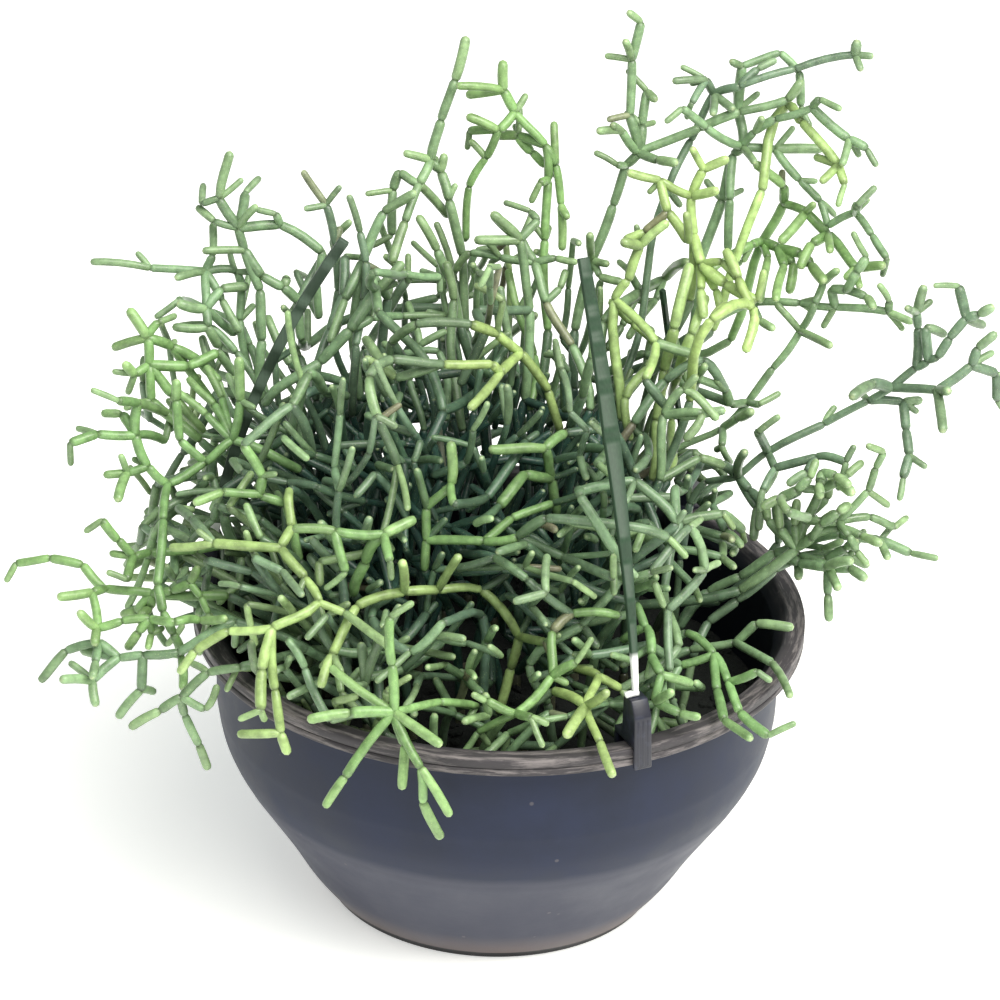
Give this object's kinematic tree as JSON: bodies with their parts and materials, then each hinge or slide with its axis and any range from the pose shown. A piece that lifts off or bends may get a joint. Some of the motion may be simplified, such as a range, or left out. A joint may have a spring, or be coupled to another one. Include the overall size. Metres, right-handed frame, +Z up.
{
  "type": "potted rhipsalis",
  "caption": "Pencil-stemmed rhipsalis cactus whose thin jointed stems mound up and arch out of a round plastic hanging pot with rim clips and cut-off straps.",
  "frame": {"origin": "centre of the pot's flat underside, on the surface that it stands on", "axes": "+Z up along the pot's axis, -Y towards the front of the picture, +X to its right"},
  "size_m": [0.3158, 0.216, 0.2809],
  "materials": {
    "pot_plastic": "matte navy-grey moulded plastic, lighter and brownish low down, scuffed grey-brown rim",
    "potting_mix": "dark peat and bark crumb, rough",
    "clip_plastic": "black moulded plastic, satin",
    "strap_plastic": "grey-green strap, satin, whitish at its foot",
    "stem_yellow": "young yellow-green stem skin, satin, faintly waxy",
    "stem_light": "light green stem skin, satin, faintly waxy",
    "stem_mid": "mid green stem skin, satin, faintly waxy",
    "stem_deep": "dark blue-green stem skin, satin"
  },
  "bodies": {
    "root": {"pot": "pot_plastic", "soil": "potting_mix", "clip_front": "clip_plastic", "strap_front": "strap_plastic", "clip_back": "clip_plastic", "strap_back": "strap_plastic", "clip_left": "clip_plastic", "strap_left": "strap_plastic", "spray_reach_right": "stem_deep", "spray_upper_right": "stem_mid", "spray_rise_right": "stem_mid", "spray_right_arch": "stem_deep", "spray_right_cluster": "stem_mid", "spray_right_spread": "stem_mid", "spray_right_under": "stem_deep", "spray_right_rim": "stem_mid", "spray_right_front": "stem_light", "spray_front_right": "stem_light", "spray_front_tip": "stem_yellow", "spray_front_centre": "stem_light", "spray_front_arch": "stem_yellow", "spray_front_star": "stem_light", "spray_front_left": "stem_yellow", "spray_mid_left": "stem_light", "spray_mid_vert": "stem_light", "spray_mid_bend": "stem_light", "spray_upper_mid_bright": "stem_yellow", "spray_left_mid": "stem_light", "spray_left_fan": "stem_light", "spray_left_low": "stem_light", "spray_left_arc": "stem_light", "spray_left_drop": "stem_mid", "spray_left_hang": "stem_mid", "spray_star_left": "stem_mid", "spray_long_left": "stem_mid", "spray_arc_upper_left": "stem_deep", "spray_far_left_star": "stem_light", "spray_upper_mid": "stem_light", "spray_tall_left_mid": "stem_mid", "spray_upper_left_mid": "stem_mid", "spray_top_right": "stem_mid", "spray_crown": "stem_mid", "spray_cascade": "stem_light", "spray_falling_right": "stem_yellow", "spray_yellow_tangle": "stem_yellow", "spray_top_far_right": "stem_deep", "spray_mid_stub": "stem_mid", "spray_pale_mid": "stem_yellow", "spray_pale_right": "stem_yellow", "spray_right_mid": "stem_mid", "spray_filler_a": "stem_deep", "spray_filler_b": "stem_deep", "spray_filler_c": "stem_deep", "spray_filler_d": "stem_deep", "spray_filler_e": "stem_deep", "spray_filler_f": "stem_deep", "spray_filler_g": "stem_deep", "spray_filler_h": "stem_deep", "spray_filler_i": "stem_deep", "spray_filler_j": "stem_deep"}
  },
  "joints": []
}
